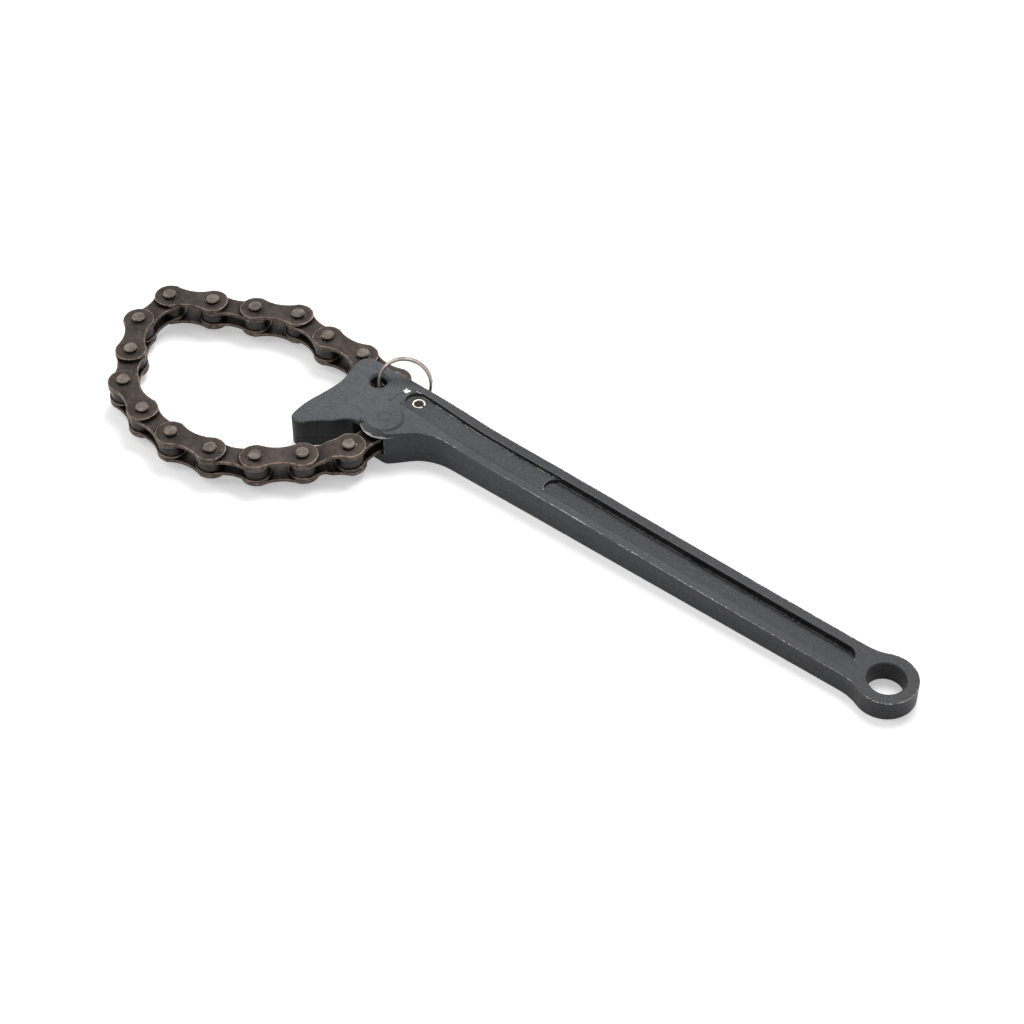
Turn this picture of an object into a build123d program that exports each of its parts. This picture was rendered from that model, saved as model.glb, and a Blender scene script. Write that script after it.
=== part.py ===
"""Chain filter wrench: forged one-piece handle and head with a chain slot, a half-inch roller
chain laid in a loop, its anchor pin, a spring pin and a split ring.

Frame: millimetres, +Z up. The origin is on the axis of the hanging hole, on the flat underside.
+X runs along the handle from the head to the eye, so the head lies at negative X.
"""

import math
import os

from build123d import *

os.makedirs("parts", exist_ok=True)

# Driving dimensions: handle and eye
eye_r = 8.2
hang_hole_r = 4.9
hang_hole_chamfer = 0.35
handle_half_w = 6.0
eye_blend_r = 14.0
eye_thick = 6.0
edge_round = 0.7

# Head
head_end_x = -174.9
beak_tip_x = -176.9
beak_tip_y = -21.2
head_far_y = 6.3
head_corner_r = 3.4
notch_y = -15.0
crown_z = 11.5
cheek_fold_x = -163.0
cheek_fold_y = 5.0
cheek_fold_z = 11.15
cheek_roll = 3.4
cheek_fall = 1.1
slot_floor_z = 3.1
slot_ceiling_z = 8.7
bite_relief_r = 6.6
bite_relief_half_h = 3.95

# Recesses of the handle, top and underside
recess_half_w = 3.25
recess_start_x = -154.6
recess_step_x = -107.0
recess_end_x = -9.8
recess_shallow = 0.9
recess_deep = 1.9
recess_under = 1.2
recess_under_start_x = -136.0

# Pins and holes of the head
anchor_x = -154.2
anchor_y = -10.4
boss_r = 4.9
boss_flank = 0.9
boss_h = 0.3
bead_r = 0.6
bead_h = 0.25
spring_pin_x = -151.2
spring_pin_y = 0.5
spring_pin_r = 1.9
spring_pin_wall = 0.6
spring_pin_len = 9.8
ring_hole_x = -165.3
ring_hole_y = 0.25
ring_hole_r = 2.35
ring_hole_chamfer = 0.7

# Roller chain
pitch = 12.7
pin_r = 1.85
pin_len = 9.3
pin_chamfer = 0.3
plate_thick = 0.95
lobe_r = 4.35
waist_half_w = 3.0
inner_width = 3.18
side_play = 0.12
running_fit = 0.05
bushing_wall = 0.7
roller_r = 3.875
roller_end_play = 0.09
crank_start = 5.2
crank_end = 7.5

# Split ring
ring_wire_r = 0.44
ring_mean_r = 7.18
ring_turns = 1.9
ring_turn_pitch = 0.98
ring_heading = 33.3
ring_dip = 0.08
ring_lean = 21.9
ring_start_x = -164.79
ring_start_y = -0.09
ring_start_z = 10.32

# How the chain lies: heading of every link in degrees from +X, from the anchor to the free end.
lay = [-99, -127, -138, -155, -171, -189, -202, -235, -236, -270, -332, -336, -335, -368, -358, -364]

# Derived sizes
chain_z = (slot_floor_z + slot_ceiling_z) / 2
inner_face = inner_width / 2
inner_over = inner_face + plate_thick
outer_face = inner_over + side_play
outer_over = outer_face + plate_thick
bushing_in_r = pin_r + running_fit
bushing_out_r = bushing_in_r + bushing_wall
roller_in_r = bushing_out_r + running_fit
slot_room_r = lobe_r + 0.45


def step_from(point, heading):
    """The pivot one pitch away from point."""
    a = math.radians(heading)
    return (point[0] + pitch * math.cos(a), point[1] + pitch * math.sin(a))


pivots = [(anchor_x, anchor_y)]
for heading in lay:
    pivots.append(step_from(pivots[-1], heading))


# Forged handle
def crown_profile(rise):
    """Side view of the forging: flat below, its crown falling from head to eye."""
    with BuildSketch(Plane.XZ) as profile:
        with BuildLine():
            top = Spline(
                (-180.0, crown_z - 0.1 + rise),
                (-166.0, crown_z - 0.1 + rise),
                (-155.0, crown_z + rise),
                (-147.0, crown_z - 0.4 + rise),
                (-137.0, crown_z - 1.7 + rise),
                (-125.0, crown_z - 2.5 + rise),
                (-104.0, crown_z - 2.9 + rise),
                (-72.0, eye_thick + 1.55 + rise),
                (-42.0, eye_thick + 0.75 + rise),
                (-8.0, eye_thick + 0.05 + rise),
                (12.0, eye_thick + rise),
            )
            Polyline(top @ 1, (12.0, rise - 3.0), (-180.0, rise - 3.0), top @ 0)
        make_face()
    return profile.sketch


with BuildSketch() as outline:
    with BuildLine():
        near_edge = Line((0.0, -handle_half_w), (-131.0, -handle_half_w))
        throat = Spline(
            near_edge @ 1,
            (-138.8, -6.5),
            (-143.8, -8.8),
            (-147.2, -12.2),
            (-149.3, -14.4),
            (-151.6, notch_y - 0.25),
            tangents=[(-1.0, 0.0), (-1.0, -0.05)],
        )
        notch = Line(throat @ 1, (-157.4, notch_y + 0.05))
        under_beak = Spline(
            notch @ 1,
            (-161.6, notch_y - 0.05),
            (-164.2, notch_y - 1.8),
            (-165.9, notch_y - 3.6),
            (-168.6, notch_y - 5.5),
            (-171.6, notch_y - 8.2),
            (-173.6, notch_y - 9.5),
            tangents=[(-1.0, 0.0), (-1.0, -0.3)],
        )
        tip = Spline(
            under_beak @ 1,
            (-176.1, notch_y - 8.9),
            (beak_tip_x, beak_tip_y),
            tangents=[(-1.0, -0.3), (0.0, 1.0)],
        )
        bite = Spline(
            tip @ 1,
            (-176.5, -16.6),
            (-175.4, -12.4),
            (-174.4, -8.4),
            (-174.0, -5.2),
            (-174.4, -2.0),
            (head_end_x, head_far_y - head_corner_r),
            tangents=[(0.0, 1.0), (0.0, 1.0)],
        )
        corner = ThreePointArc(
            bite @ 1,
            (
                head_end_x + head_corner_r * (1 - math.cos(math.radians(45))),
                head_far_y - head_corner_r * (1 - math.sin(math.radians(45))),
            ),
            (head_end_x + head_corner_r, head_far_y),
        )
        back = Spline(
            corner @ 1,
            (-161.0, head_far_y - 0.75),
            (-149.0, head_far_y - 0.85),
            (-134.0, handle_half_w),
            tangents=[(1.0, -0.05), (1.0, 0.0)],
        )
        far_edge = Line(back @ 1, (0.0, handle_half_w))
        Line(far_edge @ 1, near_edge @ 0)
    make_face()
    Circle(eye_r)
    blends = [v for v in outline.vertices() if -0.9 * eye_r < v.X < -0.3 and abs(abs(v.Y) - handle_half_w) < 0.2]
    fillet(blends, eye_blend_r)

def prism(sketch, bottom, height):
    """Solid over a plan sketch, from bottom upwards."""
    with BuildPart(mode=Mode.PRIVATE) as made:
        with BuildSketch(Plane.XY.offset(bottom)):
            add(sketch)
        extrude(amount=height)
    return made.part


def below(rise):
    """Everything under the crown, moved up or down by rise."""
    with BuildPart(mode=Mode.PRIVATE) as made:
        with BuildSketch(Plane.XZ):
            add(crown_profile(rise))
        extrude(amount=40.0, both=True)
    return made.part


with BuildSketch() as cheek_area:
    with BuildLine():
        crease = Spline(
            (cheek_fold_x, 12.0),
            (cheek_fold_x, 3.5),
            (-161.6, -1.5),
            (-160.2, -5.5),
            (-160.1, -10.5),
            (-159.6, -14.0),
            (-158.4, -30.0),
        )
        Polyline(crease @ 1, (-190.0, -30.0), (-190.0, 12.0), crease @ 0)
    make_face()

with BuildSketch() as slot_area:
    with BuildLine():
        Polyline(
            (-190.0, 16.0),
            (-190.0, -7.0),
            (-165.5, -7.0),
            (-161.8, -11.5),
            (-161.8, -30.0),
            (anchor_x + slot_room_r - 1.3, -30.0),
            (anchor_x + slot_room_r - 1.3, notch_y + 0.4),
            (anchor_x + slot_room_r, anchor_y),
            (-147.6, -3.0),
            (-147.6, 16.0),
            close=True,
        )
    make_face()


def stadium(start, end):
    """Plan of a recess with round ends."""
    with BuildSketch() as made:
        with Locations(((start + end) / 2, 0.0)):
            SlotOverall(end - start, 2 * recess_half_w)
    return made.sketch


whole_height = crown_z + 4.0
plan_solid = prism(outline.sketch, 0.0, whole_height)
shallow_cut = prism(stadium(recess_start_x, recess_end_x), 0.0, whole_height) - below(-recess_shallow)
deep_cut = prism(stadium(recess_step_x, recess_end_x), 0.0, whole_height) - below(-recess_deep)

# The cheek falls toward the beak, so what stands over its plane is cut away.
cheek_plane = Pos(cheek_fold_x, cheek_fold_y, cheek_fold_z) * Rot(cheek_roll, -cheek_fall, 0.0)
over_cheek = cheek_plane * Pos(0.0, 0.0, 10.0) * Box(90.0, 90.0, 20.0)
cheek_cut = prism(cheek_area.sketch, 0.0, whole_height + 10.0) & over_cheek

with BuildPart() as handle:
    # The outline gives the plan, the crown profile gives the thickness.
    add(plan_solid)
    add(below(0.0), mode=Mode.INTERSECT)
    add(cheek_cut, mode=Mode.SUBTRACT)
    # Rounded upper rim of the head.
    walls = handle.faces().filter_by(lambda f: abs(f.normal_at().Z) < 0.2)
    rim = [e for e in walls.edges() if e.bounding_box().min.Z > 4.0 and abs((e % 0.5).Z) < 0.9]
    rim = [e for e in rim if (e @ 0.5).X < anchor_x and not (-14.7 < (e @ 0.5).Y < 5.4)]
    fillet(rim, edge_round)
    # Low boss with a soft flank over the anchor pin, and the bead around the end of the recess.
    with Locations((anchor_x, anchor_y, crown_z + boss_h - boss_flank)):
        Cone(boss_r + 2 * boss_flank, boss_r, 2 * boss_flank)
    bead_z = crown_z + bead_h - bead_r
    with BuildLine():
        bead_arc = ThreePointArc((-157.4, -4.3, bead_z), (-157.2, -0.9, bead_z), (-155.1, 1.9, bead_z))
    with BuildSketch(Plane(bead_arc @ 0, z_dir=bead_arc % 0)):
        Circle(bead_r)
    sweep()
    # Chain slot through the head, open at the bite, the back and the notch.
    add(prism(slot_area.sketch, slot_floor_z, slot_ceiling_z - slot_floor_z), mode=Mode.SUBTRACT)
    # The slot is taller at its mouth, where the wide outer link lies half inside.
    with Locations((pivots[-2][0], pivots[-2][1], chain_z)):
        Cylinder(bite_relief_r, 2 * bite_relief_half_h, mode=Mode.SUBTRACT)
    # Recesses of the handle.
    add(shallow_cut, mode=Mode.SUBTRACT)
    add(deep_cut, mode=Mode.SUBTRACT)
    with BuildSketch() as under:
        add(stadium(recess_under_start_x, recess_end_x))
    extrude(amount=recess_under, mode=Mode.SUBTRACT)
    # Hanging hole with a small chamfer at both ends.
    with BuildSketch():
        Circle(hang_hole_r)
    extrude(amount=whole_height, mode=Mode.SUBTRACT)
    # Bores of the anchor pin and the spring pin, and the hole for the split ring.
    with BuildSketch():
        with Locations((anchor_x, anchor_y)):
            Circle(pin_r)
        with Locations((spring_pin_x, spring_pin_y)):
            Circle(spring_pin_r)
    extrude(amount=whole_height, mode=Mode.SUBTRACT)
    with BuildSketch(Plane.XY.offset(slot_ceiling_z - 0.5)):
        with Locations((ring_hole_x, ring_hole_y)):
            Circle(ring_hole_r)
    extrude(amount=whole_height, mode=Mode.SUBTRACT)
    # Broken rims of the ring hole, below and above its cheek, and of the hanging hole.
    wide_r = ring_hole_r + ring_hole_chamfer
    cheek_top = cheek_fold_z - 0.3
    with Locations((ring_hole_x, ring_hole_y, slot_ceiling_z + ring_hole_chamfer / 2)):
        Cone(wide_r, ring_hole_r, ring_hole_chamfer, mode=Mode.SUBTRACT)
    with Locations((ring_hole_x, ring_hole_y, cheek_top)):
        Cone(ring_hole_r, wide_r + ring_hole_chamfer, 2 * ring_hole_chamfer, mode=Mode.SUBTRACT)
    with Locations((0.0, 0.0, eye_thick)):
        Cone(hang_hole_r, hang_hole_r + 2 * hang_hole_chamfer, 2 * hang_hole_chamfer, mode=Mode.SUBTRACT)
handle.part.label = "handle"
export_step(handle.part, "parts/handle.step")

# Pins of the head
with BuildPart() as anchor_pin:
    with BuildSketch(Plane.XY.offset(0.1)):
        with Locations((anchor_x, anchor_y)):
            Circle(pin_r)
    extrude(amount=crown_z + boss_h - 0.05)
    chamfer(anchor_pin.edges().filter_by(GeomType.CIRCLE), 0.15)
anchor_pin.part.label = "anchor_pin"
export_step(anchor_pin.part, "parts/anchor_pin.step")

with BuildPart() as spring_pin:
    with BuildSketch(Plane.XY.offset(0.5)):
        with Locations((spring_pin_x, spring_pin_y)):
            Circle(spring_pin_r)
            Circle(spring_pin_r - spring_pin_wall, mode=Mode.SUBTRACT)
        with Locations((spring_pin_x + spring_pin_r, spring_pin_y)):
            Rectangle(2 * spring_pin_r, 0.7, mode=Mode.SUBTRACT)
    extrude(amount=spring_pin_len)
spring_pin.part.label = "spring_pin"
export_step(spring_pin.part, "parts/spring_pin.step")


# Chain links
def waisted(first_r, last_r, half_waist, holes):
    """Plan of a link plate from pivot (0, 0) to (pitch, 0), with its holes."""
    bow_r = ((pitch / 2) ** 2 + half_waist**2 - lobe_r**2) / (2 * (lobe_r - half_waist))
    with BuildSketch() as made:
        Circle(first_r)
        with Locations((pitch, 0.0)):
            Circle(last_r)
        with Locations((pitch / 2, 0.0)):
            Rectangle(pitch, 2 * lobe_r)
        with Locations((pitch / 2, half_waist + bow_r), (pitch / 2, -half_waist - bow_r)):
            Circle(bow_r, mode=Mode.SUBTRACT)
        Circle(holes[0], mode=Mode.SUBTRACT)
        with Locations((pitch, 0.0)):
            Circle(holes[1], mode=Mode.SUBTRACT)
    return made.sketch


def two_plates(sketch, near):
    """The lower and upper plate of a link, near being the distance of their inner faces."""
    with BuildPart(mode=Mode.PRIVATE) as made:
        with BuildSketch(Plane.XY.offset(near)):
            add(sketch)
        extrude(amount=plate_thick)
        with BuildSketch(Plane.XY.offset(-near)):
            add(sketch)
        extrude(amount=-plate_thick)
    return made.part


def cranked_plates(sketch):
    """Plates of the offset link: outer level at the first pivot, inner level at the last."""
    rise = outer_face - inner_face
    with BuildPart(mode=Mode.PRIVATE) as made:
        with BuildSketch(Plane.XZ):
            with BuildLine():
                Polyline(
                    (-lobe_r - 1.0, outer_face),
                    (crank_start, outer_face),
                    (crank_end, outer_face - rise),
                    (pitch + lobe_r + 1.0, inner_face),
                    (pitch + lobe_r + 1.0, inner_over),
                    (crank_end + 0.25, inner_over),
                    (crank_start + 0.25, outer_over),
                    (-lobe_r - 1.0, outer_over),
                    close=True,
                )
            make_face()
        extrude(amount=10.0, both=True)
        mirror(about=Plane.XY)
        with BuildSketch(Plane.XY.offset(-6.0)):
            add(sketch)
        extrude(amount=12.0, mode=Mode.INTERSECT)
    return made.part


def pin_pair(places):
    """Riveted link pins with broken edges at both ends."""
    with BuildPart(mode=Mode.PRIVATE) as made:
        with BuildSketch(Plane.XY.offset(-pin_len / 2)):
            with Locations(*places):
                Circle(pin_r)
        extrude(amount=pin_len)
        chamfer(made.edges().filter_by(GeomType.CIRCLE), pin_chamfer)
    return made.part


def bushing_pair(places):
    """Bushings pressed into both inner plates."""
    with BuildPart(mode=Mode.PRIVATE) as made:
        with BuildSketch(Plane.XY.offset(-inner_over)):
            with Locations(*places):
                Circle(bushing_out_r)
                Circle(bushing_in_r, mode=Mode.SUBTRACT)
        extrude(amount=2 * inner_over)
    return made.part


def roller_ring():
    """One roller, free on its bushing."""
    half = inner_face - roller_end_play
    with BuildPart(mode=Mode.PRIVATE) as made:
        with BuildSketch(Plane.XY.offset(-half)):
            Circle(roller_r)
            Circle(roller_in_r, mode=Mode.SUBTRACT)
        extrude(amount=2 * half)
    return made.part


def laid(shape, index):
    """Shape of link number index, moved from its own frame to where the link lies."""
    x, y = pivots[index]
    return Pos(x, y, chain_z) * Rot(0, 0, lay[index]) * shape


def write(shape, name):
    """Name a finished piece and write its file."""
    shape.label = name
    export_step(shape, f"parts/{name}.step")


inner_sketch = waisted(lobe_r, lobe_r, waist_half_w, (bushing_out_r, bushing_out_r))
outer_sketch = waisted(lobe_r, lobe_r, waist_half_w, (pin_r, pin_r))
crank_sketch = waisted(lobe_r + 0.25, lobe_r - 0.1, waist_half_w, (pin_r, bushing_out_r))
inner_plates = two_plates(inner_sketch, inner_face)
outer_plates = two_plates(outer_sketch, outer_face)
crank_plates = cranked_plates(crank_sketch)
both_ends = ((0.0, 0.0), (pitch, 0.0))

roller_count = 0
for index in range(len(lay)):
    link = f"link_{index + 1:02d}"
    offset = index == 1
    inner = index == 0 or (index > 1 and index % 2 == 1)
    if offset:
        write(laid(crank_plates, index), f"{link}_plates")
        write(laid(pin_pair(both_ends[:1]), index), f"{link}_pin")
        write(laid(bushing_pair(both_ends[1:]), index), f"{link}_bushing")
        rollers = both_ends[1:]
    elif inner:
        write(laid(inner_plates, index), f"{link}_plates")
        write(laid(bushing_pair(both_ends), index), f"{link}_bushings")
        rollers = both_ends[1:] if index == 0 else both_ends
    else:
        write(laid(outer_plates, index), f"{link}_plates")
        write(laid(pin_pair(both_ends), index), f"{link}_pins")
        rollers = ()
    for place in rollers:
        roller_count += 1
        write(laid(Pos(place[0], place[1], 0.0) * roller_ring(), index), f"roller_{roller_count:02d}")

# The split ring: a coil through the hole of the upper cheek
heading_rad = math.radians(ring_heading)
across = Vector(math.cos(heading_rad), math.sin(heading_rad), ring_dip).normalized()
sideways = Vector(-math.sin(heading_rad), math.cos(heading_rad), 0.0)
upright = across.cross(sideways).normalized()
lean_rad = math.radians(ring_lean)
raised = upright * math.cos(lean_rad) + sideways * math.sin(lean_rad)
ring_centre = Vector(ring_start_x, ring_start_y, ring_start_z) + across * ring_mean_r
ring_normal = across.cross(raised)
ring_plane = Plane(origin=ring_centre, x_dir=across, z_dir=ring_normal)
coil_h = ring_turns * ring_turn_pitch

with BuildPart() as split_ring:
    with BuildLine():
        coil = Helix(ring_turn_pitch, coil_h, ring_mean_r, center=(0, 0, -coil_h / 2))
    with BuildSketch(Plane(coil @ 0, z_dir=coil % 0)):
        Circle(ring_wire_r)
    sweep(is_frenet=True)
write(ring_plane.location * split_ring.part, "split_ring")
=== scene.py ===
"""Looks for the chain filter wrench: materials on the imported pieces, light, floor and camera."""

import math

import bpy
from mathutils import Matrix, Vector

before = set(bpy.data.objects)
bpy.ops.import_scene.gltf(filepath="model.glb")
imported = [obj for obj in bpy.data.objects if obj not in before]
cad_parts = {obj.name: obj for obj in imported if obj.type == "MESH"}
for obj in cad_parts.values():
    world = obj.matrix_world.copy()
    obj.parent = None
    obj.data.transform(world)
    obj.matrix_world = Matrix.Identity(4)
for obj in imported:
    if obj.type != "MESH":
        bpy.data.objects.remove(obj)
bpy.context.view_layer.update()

bl_info = {
    "name": "Chain Filter Wrench",
    "version": (1, 0, 0),
    "blender": (4, 5, 0),
    "location": "View3D > Sidebar > Wrench",
    "description": "Finishes, light and camera for a chain filter wrench",
    "category": "Object",
}


# Shader helpers
class Shade:
    """A node material under construction, or the world's nodes."""

    def __init__(self, name, world=None):
        old = bpy.data.materials.get(name)
        if old and world is None:
            bpy.data.materials.remove(old)
        self.material = world or bpy.data.materials.new(name)
        self.material.use_nodes = True
        self.tree = self.material.node_tree
        self.tree.nodes.clear()

    def node(self, kind, settings=None, values=None):
        """Add one node: its settings first, then the values or links of its sockets."""
        made = self.tree.nodes.new(kind)
        for key, value in (settings or {}).items():
            setattr(made, key, value)
        for key, value in (values or {}).items():
            self.feed(made.inputs[key], value)
        return made

    def feed(self, socket, value):
        """Link a wrapped socket, or set a plain value."""
        if isinstance(value, Signal):
            self.tree.links.new(value.socket, socket)
        else:
            socket.default_value = value

    def out(self, made, name=0):
        """Wrap one output of a node."""
        return Signal(self, made.outputs[name])

    def place(self):
        """Object coordinates, in metres."""
        return self.out(self.node("ShaderNodeTexCoord"), "Object")

    def noise(self, scale, detail, roughness, stretch=None):
        """Fractal noise from 0 to 1 over the object's own coordinates."""
        where = self.place()
        if stretch:
            mapped = self.node("ShaderNodeMapping", None, {"Vector": where, "Scale": stretch})
            where = self.out(mapped, "Vector")
        values = {
            "Vector": where,
            "Scale": scale,
            "Detail": detail,
            "Roughness": roughness,
        }
        return self.out(self.node("ShaderNodeTexNoise", None, values), "Fac")

    def ramp(self, signal, low, high):
        """0 below low and 1 above high, smooth between."""
        settings = {"interpolation_type": "SMOOTHSTEP"}
        values = {"Value": signal, "From Min": low, "From Max": high}
        return self.out(self.node("ShaderNodeMapRange", settings, values), "Result")

    def axes(self):
        """Object coordinates along X, Y and Z, in metres."""
        split = self.node("ShaderNodeSeparateXYZ", None, {"Vector": self.place()})
        return self.out(split, "X"), self.out(split, "Y"), self.out(split, "Z")

    def facing_up(self):
        """1 where the surface faces up, 0 where it faces sideways."""
        geometry = self.node("ShaderNodeNewGeometry")
        normal = self.out(geometry, "Normal")
        split = self.node("ShaderNodeSeparateXYZ", None, {"Vector": normal})
        return self.out(split, "Z")

    def band(self, signal, middle, core, fade):
        """1 within core of a middle value, 0 beyond fade."""
        return 1 - self.ramp((signal - middle).size(), core, fade)

    def span(self, signal, start, end, fade):
        """1 between start and end, fading to 0 outside them."""
        return self.ramp(signal, start, start + fade) * (1 - self.ramp(signal, end - fade, end))

    def seen(self):
        """1 for what the camera sees, directly or in polished metal."""
        path = self.node("ShaderNodeLightPath")
        direct = self.out(path, "Is Camera Ray")
        mirrored = self.out(path, "Is Glossy Ray")
        return direct.most(mirrored).most(self.out(path, "Is Transmission Ray"))

    def rim(self, reach):
        """1 on outer edges, falling to 0 at about reach from them."""
        return self._closeness(reach, {"inside": True, "samples": 6, "only_local": True})

    def corner(self, reach, alone=True):
        """1 in inner corners and narrow gaps, falling to 0 in the open."""
        return self._closeness(reach, {"inside": False, "samples": 6, "only_local": alone})

    def _closeness(self, reach, settings):
        """How much other surface lies within reach, on one side of this one."""
        made = self.node("ShaderNodeAmbientOcclusion", settings, {"Distance": reach})
        return 1 - self.out(made, "AO")

    def blend(self, mask, first, second):
        """Mix two colours by a mask."""
        made = self.node("ShaderNodeMix", {"data_type": "RGBA", "clamp_factor": True})
        self.feed(made.inputs["Factor"], mask)
        self.feed(made.inputs[6], first)
        self.feed(made.inputs[7], second)
        return Signal(self, made.outputs[2])

    def choose(self, mask, first, second):
        """The second shader where the mask is 1, and the first elsewhere."""
        made = self.node("ShaderNodeMixShader")
        for socket, value in zip(made.inputs, (mask, first, second)):
            self.feed(socket, value)
        return self.out(made, "Shader")

    def light(self, kind, strength):
        """White light of a background or an emission."""
        return self.out(self.node(kind, None, {"Color": WHITE, "Strength": strength}))

    def bump(self, height, distance):
        """A bump normal from a height signal."""
        values = {"Height": height, "Distance": distance, "Strength": 1.0}
        return self.out(self.node("ShaderNodeBump", None, values), "Normal")

    def surface(self, **values):
        """The principled surface and the material's output."""
        shader = self.node("ShaderNodeBsdfPrincipled", None, values)
        self.node("ShaderNodeOutputMaterial", None, {"Surface": self.out(shader, "BSDF")})
        return self.material


class Signal:
    """A number flowing through the nodes, with arithmetic."""

    def __init__(self, shade, socket):
        self.shade = shade
        self.socket = socket

    def _math(self, operation, first, second):
        made = self.shade.node("ShaderNodeMath", {"operation": operation})
        self.shade.feed(made.inputs[0], first)
        self.shade.feed(made.inputs[1], second)
        return Signal(self.shade, made.outputs[0])

    def __add__(self, other):
        return self._math("ADD", self, other)

    __radd__ = __add__

    def __sub__(self, other):
        return self._math("SUBTRACT", self, other)

    def __rsub__(self, other):
        return self._math("SUBTRACT", other, self)

    def __mul__(self, other):
        return self._math("MULTIPLY", self, other)

    __rmul__ = __mul__

    def most(self, other):
        """The larger of two signals."""
        return self._math("MAXIMUM", self, other)

    def size(self):
        """The signal without its sign."""
        return self._math("ABSOLUTE", self, 0.0)

    def root(self):
        """The square root."""
        return self._math("SQRT", self, 0.0)


def rgb(red, green, blue):
    """A colour in screen values from 0 to 255, as the linear one that nodes take."""
    parts = [v / 255 for v in (red, green, blue)]
    linear = [v / 12.92 if v <= 0.04045 else ((v + 0.055) / 1.055) ** 2.4 for v in parts]
    return (*linear, 1.0)


WHITE = (1.0, 1.0, 1.0, 1.0)
# Bright rim of the chain: worn metal and painted highlight
BROWN_RIM_WEAR_AND_HIGHLIGHT = rgb(192, 168, 152)
# Painted shade between the turns of the wire
WIRE_GAP_SHADE = rgb(46, 38, 34)
ROLLER = rgb(48, 44, 41)
SPRING = rgb(206, 203, 192)
RING = rgb(180, 168, 158)

# Places on the forging, in metres from the axis of the hanging hole
HEAD_START = -0.140
HEAD_FULL = -0.163
RECESS_START = -0.1550
RECESS_STEP = -0.1068
RECESS_END = -0.0096
RECESS_SIDE = 0.0033
EYE_HOLE_RADIUS = 0.0051
PARTING_HEIGHT = 0.0029
KNOCK_ALONG = -0.1562
KNOCK_ACROSS = 0.0012

# Floor and world
FLOOR_HALF = 3.0
FLOOR_DROP = 0.0002
FLOOR_PALE = (0.9, 0.9, 0.9, 1.0)
FLOOR_GLOW = 0.38
WORLD_LIGHT = 0.40

# Lamps: place from the target, width in metres, power in watts
KEY_LAMP = (Vector((-0.10, 0.40, 0.78)), 0.42, 5.6)
FILL_LAMP = (Vector((-0.62, -0.30, 0.5)), 0.6, 2.2)


# Settings
class ForgingSettings(bpy.types.PropertyGroup):
    """Paint of the forged handle."""

    paint: bpy.props.FloatVectorProperty(
        name="Paint",
        description="Dark grey paint of the forging",
        subtype="COLOR",
        size=4,
        default=rgb(67, 68, 71),
        min=0.0,
        max=1.0,
    )
    # Colour of chipped bare metal, also used for the painted glint at the foot of the recess wall
    chip_and_glint: bpy.props.FloatVectorProperty(
        name="Chips",
        description="Pale metal where the paint has chipped off",
        subtype="COLOR",
        size=4,
        default=rgb(158, 157, 152),
        min=0.0,
        max=1.0,
    )
    edge_radius: bpy.props.FloatProperty(
        name="Edge radius",
        description="Rounding of the forging's edges",
        default=0.0007,
        min=0.0,
        unit="LENGTH",
    )


class ChainSettings(bpy.types.PropertyGroup):
    """Finish of the roller chain."""

    plate: bpy.props.FloatVectorProperty(
        name="Plates",
        description="Brown oiled steel of the link plates",
        subtype="COLOR",
        size=4,
        default=rgb(62, 53, 48),
        min=0.0,
        max=1.0,
    )
    pin: bpy.props.FloatVectorProperty(
        name="Pins",
        description="Satin steel of the pin ends",
        subtype="COLOR",
        size=4,
        default=rgb(104, 95, 88),
        min=0.0,
        max=1.0,
    )
    edge_radius: bpy.props.FloatProperty(
        name="Edge radius",
        description="Rounding of the plates' rims",
        default=0.00012,
        min=0.0,
        unit="LENGTH",
    )


class StageSettings(bpy.types.PropertyGroup):
    """Camera and light."""

    azimuth: bpy.props.FloatProperty(
        name="Azimuth",
        description="Direction of view about the vertical",
        default=math.radians(38.15),
        subtype="ANGLE",
    )
    elevation: bpy.props.FloatProperty(
        name="Elevation",
        description="Height of the view above the horizon",
        default=math.radians(46.5),
        subtype="ANGLE",
    )
    distance: bpy.props.FloatProperty(
        name="Distance",
        description="Distance of the camera from its target",
        default=0.6686,
        min=0.1,
        unit="LENGTH",
    )
    target: bpy.props.FloatVectorProperty(
        name="Target",
        description="Point at the middle of the picture",
        subtype="TRANSLATION",
        size=3,
        default=(-0.1120, -0.0082, 0.0),
    )
    lens: bpy.props.FloatProperty(
        name="Lens",
        description="Focal length on a 36 mm frame",
        default=87.89,
        min=10.0,
    )


# Finishing helpers
def soften(obj, width):
    """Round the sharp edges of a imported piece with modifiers; its own vertices stay."""
    weld = obj.modifiers.new("weld", "WELD")
    weld.merge_threshold = 1e-6
    bevel = obj.modifiers.new("rounding", "BEVEL")
    bevel.width = width
    bevel.segments = 2
    bevel.limit_method = "ANGLE"
    bevel.angle_limit = math.radians(38)
    bevel.use_clamp_overlap = True
    bevel.harden_normals = False
    normals = obj.modifiers.new("normals", "WEIGHTED_NORMAL")
    normals.keep_sharp = False


def finish_piece(name, material, width):
    """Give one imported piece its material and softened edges."""
    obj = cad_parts[name]
    obj.data.materials.clear()
    obj.data.materials.append(material)
    for polygon in obj.data.polygons:
        polygon.use_smooth = True
    if width:
        soften(obj, width)


def named(*words):
    """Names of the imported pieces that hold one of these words."""
    return sorted(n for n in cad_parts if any(w in n for w in words))


# Materials
def shaded(colour, factor):
    """A colour made darker or paler by a factor."""
    return (*(min(v * factor, 1.0) for v in colour[:3]), 1.0)


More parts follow.
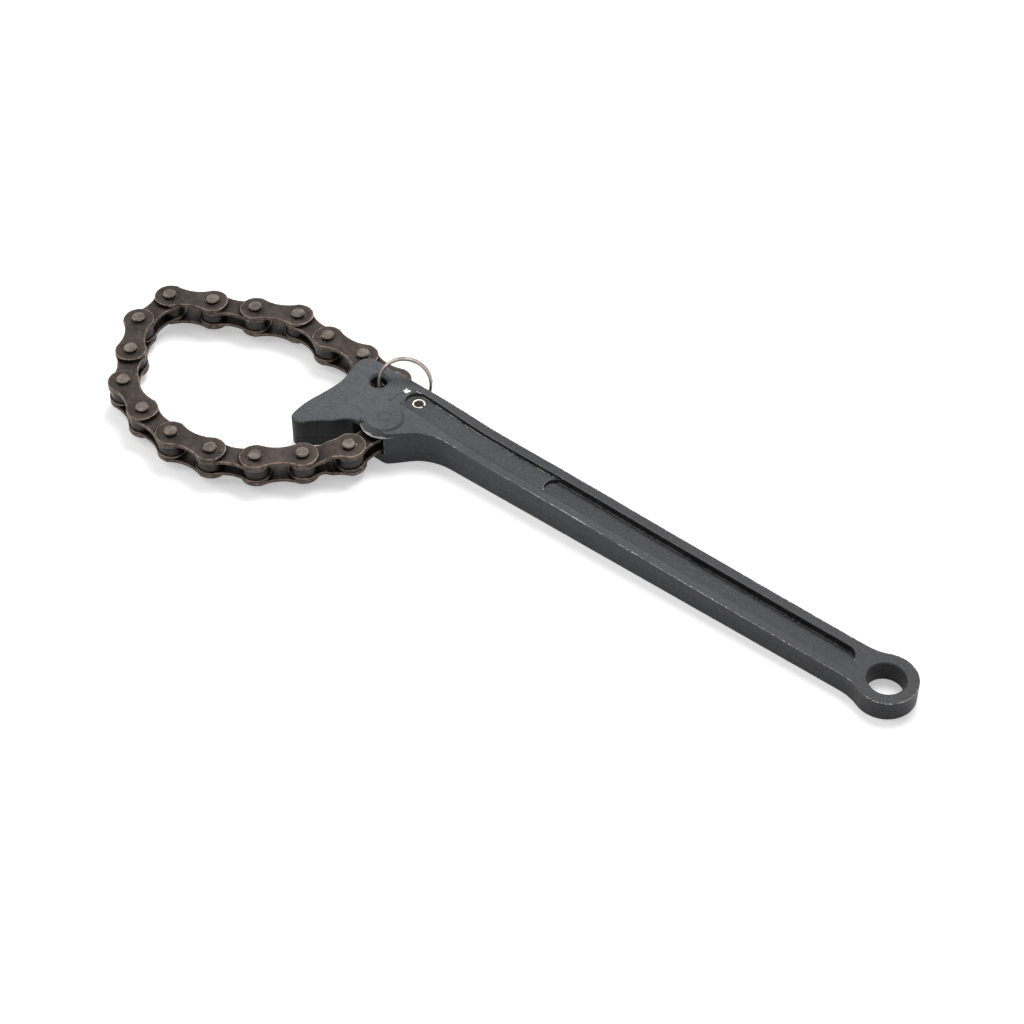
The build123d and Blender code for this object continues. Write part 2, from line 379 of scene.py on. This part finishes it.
def forging_paint(paint, chip_and_glint):
    """Dark paint over a forged skin, chipped along the edges, with painted light: paler cheek
    tops, painted shade on walls, recesses, corners, far flange and eye end, and a painted glint.
    """
    s = Shade("forging_paint")
    along, across, up = s.axes()
    upward = s.facing_up()
    grain = s.noise(2600.0, 2.0, 0.6)
    skin = s.noise(520.0, 4.0, 0.6)
    pits = s.noise(1150.0, 3.0, 0.7)
    streaks = s.noise(1500.0, 3.0, 0.6, (0.12, 1.0, 0.6))
    speckle = s.noise(1000.0, 3.0, 0.75)
    tone = s.noise(34.0, 4.0, 0.6)
    broad = s.noise(110.0, 3.0, 0.65)

    # Regions of the forging
    head = 1 - s.ramp(along, HEAD_FULL, HEAD_START)
    eye = s.ramp(along, -0.085, 0.0)
    length = s.span(along, RECESS_START, RECESS_END, 0.0008)
    channel = length * (1 - s.ramp(across.size(), RECESS_SIDE - 0.0003, RECESS_SIDE + 0.0001))
    deep = s.ramp(along, RECESS_STEP - 0.0004, RECESS_STEP + 0.0004)
    far_side = length * s.ramp(across, RECESS_SIDE + 0.0001, RECESS_SIDE + 0.0007)
    lip = length * s.band(across.size(), RECESS_SIDE, 0.0004, 0.0008)
    wall = 1 - s.ramp(upward.size(), 0.25, 0.6)
    recess_wall = wall * length * s.band(across.size(), RECESS_SIDE - 0.00005, 0.0003, 0.0006)
    from_eye = (along * along + across * across).root()
    eye_hole = wall * (1 - s.ramp(from_eye, EYE_HOLE_RADIUS, EYE_HOLE_RADIUS + 0.0003))
    notch = wall * (1 - s.ramp(across, -0.0165, -0.0135)) * (1 - s.ramp(along, -0.1520, -0.1500))
    boss = s.span(along, -0.1660, -0.1466, 0.0010) * s.span(across, -0.0138, 0.0052, 0.0006)
    near_line = length * s.band(across, -RECESS_SIDE - 0.00005, 0.00014, 0.00036)
    seam = s.band(up, PARTING_HEIGHT, 0.00008, 0.00032)
    corner = s.corner(0.0007)

    # Bare metal on chipped edges and one knock on the cheek, and a painted highlight: a glint
    # along the foot of the far recess wall
    rim = s.rim(0.0007) * (1 - lip * 0.45) * (1 - boss * 0.8)
    shoulder = s.ramp(upward, 0.45, 0.75) * (1 - s.ramp(upward, 0.93, 0.985))
    shoulder = shoulder * (1 - s.ramp(along, -0.1500, -0.1490))
    shoulder = shoulder * (1 - s.ramp(across, -0.0125, -0.0115))
    edge = rim.most(shoulder * 0.24)
    chips = s.ramp(edge * 0.8 + speckle * 0.9 + broad * 0.75, 1.22, 1.36)
    # Painted highlight: a glint line along the foot of the far recess wall
    glint_line = length * s.band(across, 0.0030, 0.00015, 0.00042) * s.ramp(upward, 0.6, 0.9)
    glint = s.ramp(glint_line * 0.55 + speckle * 0.7 + broad * 0.5, 1.08, 1.26)
    beside = along - KNOCK_ALONG
    beyond = across - KNOCK_ACROSS
    away = (beside * beside + beyond * beyond).root()
    knock = 1 - s.ramp(away + (speckle - 0.5) * 0.0042, 0.0008, 0.0011)
    knock = knock * s.ramp(upward, 0.5, 0.8)
    bare_and_glint = chips.most(glint).most(knock)

    # Paint colour region by region, with painted light and shade, and then grain over all
    # Painted shade: darker towards the eye end
    body = s.blend(eye, paint, shaded(paint, 0.50))
    # Painted shade: the far flange darker than the near one
    body = s.blend(far_side, body, shaded(paint, 0.50))
    # Painted highlight: the head's upward faces paler than the handle
    body = s.blend(head * (1 - wall), body, shaded(paint, 1.85))
    # Painted shade in the recess floor, darker where the recess is deep
    body = s.blend(channel, body, s.blend(deep, shaded(paint, 0.80), shaded(paint, 0.58)))
    # Painted shade on the side walls
    body = s.blend(wall * 0.6, body, shaded(paint, 0.55))
    # Painted shade on the recess walls
    body = s.blend(recess_wall, body, shaded(paint, 0.12))
    # Painted shade on the beak's wall in the notch
    body = s.blend(notch, body, shaded(paint, 0.06))
    # Painted shade inside the hanging hole
    body = s.blend(eye_hole, body, shaded(paint, 0.10))
    mottle = s.ramp(tone * 0.25 + skin * 0.3 + grain * 0.2 + streaks * 0.25, 0.34, 0.66)
    body = s.blend(mottle * 0.42, body, shaded(paint, 0.22))
    body = s.blend(s.ramp(grain, 0.46, 0.60) * 0.40, body, shaded(paint, 0.34))
    body = s.blend(s.ramp(1 - grain, 0.54, 0.68) * 0.14, body, shaded(paint, 2.4))
    body = s.blend(s.ramp(pits, 0.58, 0.72) * (0.16 + channel * 0.32), body, shaded(paint, 2.8))
    # Painted shade along the near edge of the recess
    body = s.blend(near_line * 0.8, body, shaded(paint, 0.18))
    # Painted shade in inner corners and creases, kept off the glint line
    body = s.blend(s.ramp(corner, 0.20, 0.55) * (1 - glint_line) * 0.85, body, shaded(paint, 0.15))
    # Colour of the bare metal, also given to the painted glint
    metal_and_glint = s.blend(knock, chip_and_glint, shaded(chip_and_glint, 1.9))

    texture = skin * 0.45 + grain * 0.3 + streaks * 0.25 + pits * (0.25 + channel * 0.3)
    relief = texture - chips * 0.5 + seam * wall * 0.9
    return s.surface(
        **{
            "Base Color": s.blend(bare_and_glint, body, metal_and_glint),
            "Roughness": 0.34 + grain * 0.22 + head * 0.08 - bare_and_glint * 0.14,
            "Metallic": bare_and_glint * 0.75,
            "Normal": s.bump(relief, 0.00024),
            "Specular IOR Level": 0.24,
        }
    )


def oiled_steel(name, colour, shine, rim_wear_and_highlight):
    """Brown oiled steel, darker in patches, with painted shade in gaps and a painted shadow at
    each pin's foot, its rims worn bright and given a painted highlight.
    """
    s = Shade(name)
    patch = s.noise(180.0, 4.0, 0.6)
    blot = s.noise(620.0, 4.0, 0.65)
    grain = s.noise(3000.0, 2.0, 0.6)
    mottle = s.ramp(patch * 0.4 + blot * 0.4 + grain * 0.2, 0.36, 0.64)
    base = s.blend(mottle, shaded(colour, 0.45), shaded(colour, 1.4))
    # Painted shade in deep gaps between parts
    deep_gap_shade = s.ramp(s.corner(0.0050, False), 0.40, 0.85) * 0.85
    # Painted shadow around the foot of each pin
    pin_foot_shadow = s.ramp(s.corner(0.0026, False), 0.06, 0.26) * 0.94
    base = s.blend(deep_gap_shade, base, shaded(colour, 0.10))
    base = s.blend(pin_foot_shadow, base, shaded(colour, 0.07))
    # Rims: worn bright metal with a painted highlight
    rim = s.ramp(s.rim(0.0006) * 0.95 + blot * 0.5, 0.44, 0.78)
    return s.surface(
        **{
            "Base Color": s.blend(rim * rim_wear_and_highlight, base, BROWN_RIM_WEAR_AND_HIGHLIGHT),
            "Roughness": shine + grain * 0.16 + blot * 0.12 - rim * 0.08,
            "Metallic": 0.7 + rim * 0.2,
            "Normal": s.bump(grain * 0.4 + blot * 0.6, 0.00006),
        }
    )


def bare_wire(name, colour):
    """Drawn steel wire, browner in patches, with painted shade where two turns touch."""
    s = Shade(name)
    patch = s.noise(300.0, 3.0, 0.6)
    fine = s.noise(4000.0, 2.0, 0.6)
    base = s.blend(s.ramp(patch, 0.3, 0.6), shaded(colour, 0.5), colour)
    # Painted shade where two turns of wire touch
    gap_shade = s.ramp(s.corner(0.0006), 0.10, 0.45)
    return s.surface(
        **{
            "Base Color": s.blend(gap_shade * 0.85, base, WIRE_GAP_SHADE),
            "Roughness": 0.26 + fine * 0.15,
            "Metallic": 0.85,
            "Normal": s.bump(fine, 0.00002),
        }
    )


# Operators
class WRENCH_OT_forging(bpy.types.Operator):
    """Finish the forged handle and the anchor pin, painted over with it"""

    bl_idname = "wrench.forging"
    bl_label = "Forging"

    def execute(self, context):
        settings = context.scene.wrench_forging
        paint = forging_paint(tuple(settings.paint), tuple(settings.chip_and_glint))
        finish_piece("handle", paint, settings.edge_radius)
        finish_piece("anchor_pin", paint, 0.0)
        return {"FINISHED"}


class WRENCH_OT_chain(bpy.types.Operator):
    """Finish the link plates, pins, bushings and rollers"""

    bl_idname = "wrench.chain"
    bl_label = "Chain"

    def execute(self, context):
        settings = context.scene.wrench_chain
        plate = oiled_steel("plate_steel", tuple(settings.plate), 0.34, 0.8)
        pin = oiled_steel("pin_steel", tuple(settings.pin), 0.30, 0.9)
        roller = oiled_steel("roller_steel", ROLLER, 0.24, 0.5)
        for name in named("_plates"):
            finish_piece(name, plate, settings.edge_radius)
        for name in named("_pin"):
            if name.startswith("link"):
                finish_piece(name, pin, 0.0)
        for name in named("_bushing", "roller_"):
            finish_piece(name, roller, 0.0001)
        return {"FINISHED"}


class WRENCH_OT_ring(bpy.types.Operator):
    """Finish the split ring and the spring pin"""

    bl_idname = "wrench.ring"
    bl_label = "Ring and spring pin"

    def execute(self, context):
        finish_piece("split_ring", bare_wire("ring_wire", RING), 0.0)
        finish_piece("spring_pin", bare_wire("spring_steel", SPRING), 0.0001)
        return {"FINISHED"}


class WRENCH_OT_stage(bpy.types.Operator):
    """Floor, world, lamps and camera"""

    bl_idname = "wrench.stage"
    bl_label = "Stage"

    def execute(self, context):
        scene = context.scene
        settings = scene.wrench_stage
        scene.view_settings.view_transform = "Standard"
        floor()
        surroundings(scene)
        middle = Vector(settings.target)
        lamp("key_lamp", middle, *KEY_LAMP)
        lamp("fill_lamp", middle, *FILL_LAMP)
        camera(scene, settings)
        return {"FINISHED"}


def floor():
    """A plain pale floor that shows white to the camera and keeps the shadow."""
    mesh = bpy.data.meshes.new("floor")
    half = FLOOR_HALF
    corners = [(-half, -half, 0), (half, -half, 0), (half, half, 0), (-half, half, 0)]
    mesh.from_pydata(corners, [], [(0, 1, 2, 3)])
    obj = bpy.data.objects.new("floor", mesh)
    obj.location.z = -FLOOR_DROP
    bpy.context.scene.collection.objects.link(obj)
    s = Shade("floor_white")
    matt = s.out(s.node("ShaderNodeBsdfDiffuse", None, {"Color": FLOOR_PALE}))
    both = s.node("ShaderNodeAddShader")
    s.feed(both.inputs[0], matt)
    s.feed(both.inputs[1], s.light("ShaderNodeEmission", FLOOR_GLOW))
    near = s.choose(s.seen(), matt, s.out(both, "Shader"))
    along, across, _ = s.axes()
    far = s.ramp((along * along + across * across).root(), 0.55, 1.20)
    shown = s.choose(far * s.seen(), near, s.light("ShaderNodeEmission", 1.0))
    s.node("ShaderNodeOutputMaterial", None, {"Surface": shown})
    obj.data.materials.append(s.material)


def surroundings(scene):
    """White world to the camera and to reflections, softer as a light."""
    s = Shade("surroundings", bpy.data.worlds.new("surroundings"))
    soft = s.light("ShaderNodeBackground", WORLD_LIGHT)
    bright = s.light("ShaderNodeBackground", 1.0)
    shown = s.choose(s.seen(), soft, bright)
    s.node("ShaderNodeOutputWorld", None, {"Surface": shown})
    scene.world = s.material


def lamp(name, aim, offset, size, power):
    """A square soft lamp, placed by its offset from the point it is aimed at."""
    data = bpy.data.lights.new(name, "AREA")
    data.shape = "SQUARE"
    data.size = size
    data.energy = power
    obj = bpy.data.objects.new(name, data)
    obj.location = aim + offset
    obj.rotation_euler = (-offset).to_track_quat("-Z", "Y").to_euler()
    bpy.context.scene.collection.objects.link(obj)


def camera(scene, settings):
    """The camera at the photograph's viewing angle."""
    data = bpy.data.cameras.new("camera")
    data.lens = settings.lens
    data.sensor_width = 36.0
    data.clip_start = 0.01
    obj = bpy.data.objects.new("camera", data)
    back = Vector(
        (
            math.sin(settings.azimuth) * math.cos(settings.elevation),
            -math.cos(settings.azimuth) * math.cos(settings.elevation),
            math.sin(settings.elevation),
        )
    )
    obj.location = Vector(settings.target) + back * settings.distance
    obj.rotation_euler = (-back).to_track_quat("-Z", "Y").to_euler()
    scene.collection.objects.link(obj)
    scene.camera = obj


class WRENCH_PT_panel(bpy.types.Panel):
    """Lists the steps that dress the wrench"""

    bl_label = "Chain Filter Wrench"
    bl_idname = "WRENCH_PT_panel"
    bl_space_type = "VIEW_3D"
    bl_region_type = "UI"
    bl_category = "Wrench"

    def draw(self, context):
        scene = context.scene
        for group in (scene.wrench_forging, scene.wrench_chain, scene.wrench_stage):
            for key in group.__annotations__:
                self.layout.prop(group, key)
        for step in STEPS:
            self.layout.operator(step.bl_idname)


STEPS = (WRENCH_OT_forging, WRENCH_OT_chain, WRENCH_OT_ring, WRENCH_OT_stage)
CLASSES = (ForgingSettings, ChainSettings, StageSettings, *STEPS, WRENCH_PT_panel)


def register():
    for cls in CLASSES:
        bpy.utils.register_class(cls)
    bpy.types.Scene.wrench_forging = bpy.props.PointerProperty(type=ForgingSettings)
    bpy.types.Scene.wrench_chain = bpy.props.PointerProperty(type=ChainSettings)
    bpy.types.Scene.wrench_stage = bpy.props.PointerProperty(type=StageSettings)


def unregister():
    del bpy.types.Scene.wrench_stage
    del bpy.types.Scene.wrench_chain
    del bpy.types.Scene.wrench_forging
    for cls in reversed(CLASSES):
        bpy.utils.unregister_class(cls)


def main():
    """Register the add-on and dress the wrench."""
    register()
    bpy.ops.wrench.forging()
    bpy.ops.wrench.chain()
    bpy.ops.wrench.ring()
    bpy.ops.wrench.stage()


if __name__ == "__main__":
    main()
